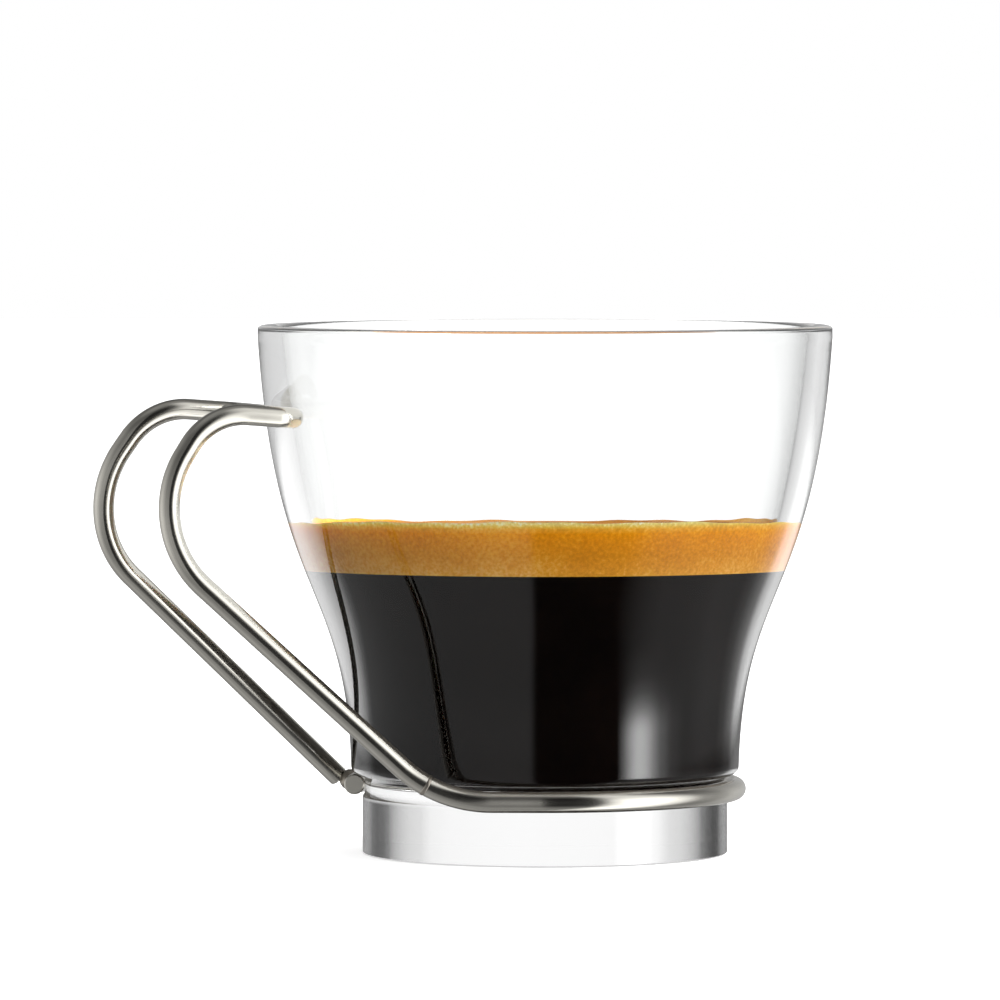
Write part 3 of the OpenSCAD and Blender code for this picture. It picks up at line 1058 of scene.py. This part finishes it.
# The cards that the outside of the glass mirrors: low ones for the foot and the bell, and a
# pale one above the table for the rim
SIDES = (
    (-180, 1.2), (-165, 1.34), (-154, 2.0), (-146, 2.27), (-140, 2.2), (-134, 2.0), (-129, 1.5),
    (-125, 0.8), (-121, 0.47), (-117, 0.46), (-9, 0.44), (-5, 0.02), (43, 0.02), (70, 0.44),
    (105, 0.44), (121, 0.3), (129, 0.38), (134, 0.57), (140, 0.78), (146, 1.77), (154, 1.93),
    (165, 1.24), (180, 1.1),
)
SIDES_UP = ((-90, 1), (-30, 1), (-14, 1.1), (-8, 1.0), (-5.6, 0.25), (90, 0.25))
OVER_THE_RIM = ((0, 0), (2, 0.75), (25, 0.75), (45, 0))

# The cards that light reaches after a mirror image within the glass
INNER_SIDES = (
    (-180, 0.62), (-149, 0.62), (-138, 0.64), (-130, 0.6), (-120, 0.75), (118, 0.75),
    (130, 0.15), (136, 0.22), (141, 0.57), (146, 0.68), (152, 0.84), (160, 0.8), (172, 0.9),
    (177, 0.62), (180, 0.62),
)
INNER_UP = ((-90, 0.75), (-28, 0.75), (-12, 1.2), (90, 1.2))
INNER_STEEP = ((-90, 0.9), (-52, 0.85), (-46, 0), (0.4, 0), (1.6, 1.12), (90, 1.12))
INNER_AGAIN = 0.8

THROUGH_LIGHT = 1.12  # white seen through the glass
WHITE = 1.0           # white behind the object
FILL_LIGHT = 1.05     # light on matte faces, and how much more of it comes from the right
FILL_FROM_RIGHT = 1.15
LIFT = 0.58           # makes the table as white as what is behind it, under its shadow


def degree_ramp(nodes, source, links, span, stops, kind="LINEAR"):
    """A grey ramp over an angle in degrees, from -span to span."""
    node = ramp(nodes, [((at + span) / (2 * span), (v, v, v)) for at, v in stops], kind)
    links.new(source, node.inputs[0])
    return node.outputs[0]


def studio_world(context):
    """White round the object, with the studio's cards and soft box for what mirrors them."""
    world = bpy.data.worlds.new("Studio")
    context.scene.world = world
    world.use_nodes = True
    tree = world.node_tree
    nodes, links = tree.nodes, tree.links
    nodes.clear()
    out = nodes.new("ShaderNodeOutputWorld")
    place = nodes.new("ShaderNodeTexCoord")
    turn = nodes.new("ShaderNodeVectorRotate")
    turn.rotation_type = "Z_AXIS"
    turn.inputs["Angle"].default_value = VIEW_TURN
    links.new(place.outputs["Generated"], turn.inputs["Vector"])
    apart = nodes.new("ShaderNodeSeparateXYZ")
    links.new(turn.outputs[0], apart.inputs[0])

    def times(a, b):
        return math_node(tree, "MULTIPLY", a, b)

    def plus(a, b):
        return math_node(tree, "ADD", a, b)

    def larger(a, b):
        return math_node(tree, "MAXIMUM", a, b)

    def more_than(a, b):
        return math_node(tree, "GREATER_THAN", a, b)

    def less_than(a, b):
        return math_node(tree, "LESS_THAN", a, b)

    angle = math_node(tree, "ARCTAN2", apart.outputs["X"], times(apart.outputs["Y"], -1.0))
    share = plus(math_node(tree, "DIVIDE", angle, 2 * math.pi), 0.5)
    slope = math_node(tree, "ARCSINE", apart.outputs["Z"])
    rise = plus(math_node(tree, "DIVIDE", slope, math.pi), 0.5)

    def across(stops):
        return degree_ramp(nodes, share, links, 180, stops)

    def up(stops, kind="LINEAR"):
        return degree_ramp(nodes, rise, links, 90, stops, kind)

    soft_box = times(times(across(SOFT_BOX), up(SOFT_BOX_UP)), SOFT_BOX_LIGHT)
    metal = plus(times(across(CARDS), up(CARDS_UP)), times(across(TALL_BOX), up(TALL_BOX_UP)))
    metal = plus(metal, up(ABOVE_AND_BELOW))
    walls = larger(times(across(SIDES), up(SIDES_UP)), up(OVER_THE_RIM))
    outer = plus(walls, plus(up(OVERHEAD, "EASE"), soft_box))
    inner = plus(times(across(INNER_SIDES), up(INNER_UP)), soft_box)
    inner = larger(inner, up(INNER_STEEP))

    path = nodes.new("ShaderNodeLightPath")
    seen = path.outputs["Is Camera Ray"]
    within = more_than(path.outputs["Transmission Depth"], 0.5)
    again = more_than(path.outputs["Glossy Depth"], 1.5)
    lit = more_than(path.outputs["Diffuse Depth"], 0.5)
    straight = less_than(path.outputs["Glossy Depth"], 0.5)
    through = times(straight, path.outputs["Is Transmission Ray"])
    satin = less_than(path.outputs["Is Singular Ray"], 0.5)
    fill = plus(times(apart.outputs["X"], FILL_FROM_RIGHT), FILL_LIGHT)

    def choose(test, no, yes):
        node = nodes.new("ShaderNodeMix")
        links.new(test, node.inputs[0])
        for socket, value in ((node.inputs[2], no), (node.inputs[3], yes)):
            if isinstance(value, float):
                socket.default_value = value
            else:
                links.new(value, socket)
        return node.outputs[0]

    light = choose(within, choose(satin, outer, metal), choose(again, inner, INNER_AGAIN))
    light = choose(through, light, THROUGH_LIGHT)
    light = choose(lit, light, fill)
    light = choose(seen, light, WHITE)
    studio = nodes.new("ShaderNodeBackground")
    links.new(light, studio.inputs["Color"])
    links.new(studio.outputs[0], out.inputs["Surface"])


def soft_lamps(context):
    """Two soft boxes: the large one high at the right, the small one at the left."""
    for name, place, size, watts in (
        ("high_right", (0.42, -0.25, 0.55), 0.6, 6.5),
        ("low_left", (-0.6, -0.45, 0.4), 0.5, 2.5),
    ):
        data = bpy.data.lights.new(name, "AREA")
        data.shape = "SQUARE"
        data.size = size
        data.energy = watts
        lamp = bpy.data.objects.new(name, data)
        context.scene.collection.objects.link(lamp)
        lamp.location = place
        ahead = Vector((0, 0, 0.03)) - Vector(place)
        lamp.rotation_euler = ahead.to_track_quat("-Z", "Y").to_euler()
        lamp.visible_glossy = False
        lamp.visible_transmission = False


def photo_camera(context):
    """The camera, about a metre away and a little above the rim."""
    data = bpy.data.cameras.new("photo")
    data.sensor_width = 36
    data.lens = 307.4
    data.clip_end = 20
    camera = bpy.data.objects.new("photo", data)
    context.scene.collection.objects.link(camera)
    away, height = 1.0236, 0.0858
    camera.location = (-away * math.sin(VIEW_TURN), -away * math.cos(VIEW_TURN), height)
    aim = Vector((-0.00504, 0.00194, 0.0422))
    camera.rotation_euler = (aim - camera.location).to_track_quat("-Z", "Y").to_euler()
    context.scene.camera = camera


class CORTADO_PT_panel(bpy.types.Panel):
    bl_label = "Cortado Glass"
    bl_space_type = "VIEW_3D"
    bl_region_type = "UI"
    bl_category = "Glass"

    def draw(self, context):
        for operator in OPERATORS:
            self.layout.operator(operator.bl_idname)
        for key in GlassSettings.__annotations__:
            self.layout.prop(context.scene.cortado, key)


OPERATORS = (
    CORTADO_OT_glass, CORTADO_OT_drink, CORTADO_OT_wire, CORTADO_OT_welds, CORTADO_OT_stage
)
CLASSES = (GlassSettings, *OPERATORS, CORTADO_PT_panel)


def register():
    for cls in CLASSES:
        bpy.utils.register_class(cls)
    bpy.types.Scene.cortado = bpy.props.PointerProperty(type=GlassSettings)


def unregister():
    del bpy.types.Scene.cortado
    for cls in reversed(CLASSES):
        bpy.utils.unregister_class(cls)


def main():
    register()
    bpy.ops.cortado.glass()
    bpy.ops.cortado.drink()
    bpy.ops.cortado.wire()
    bpy.ops.cortado.welds()
    bpy.ops.cortado.stage()


if __name__ == "__main__":
    main()
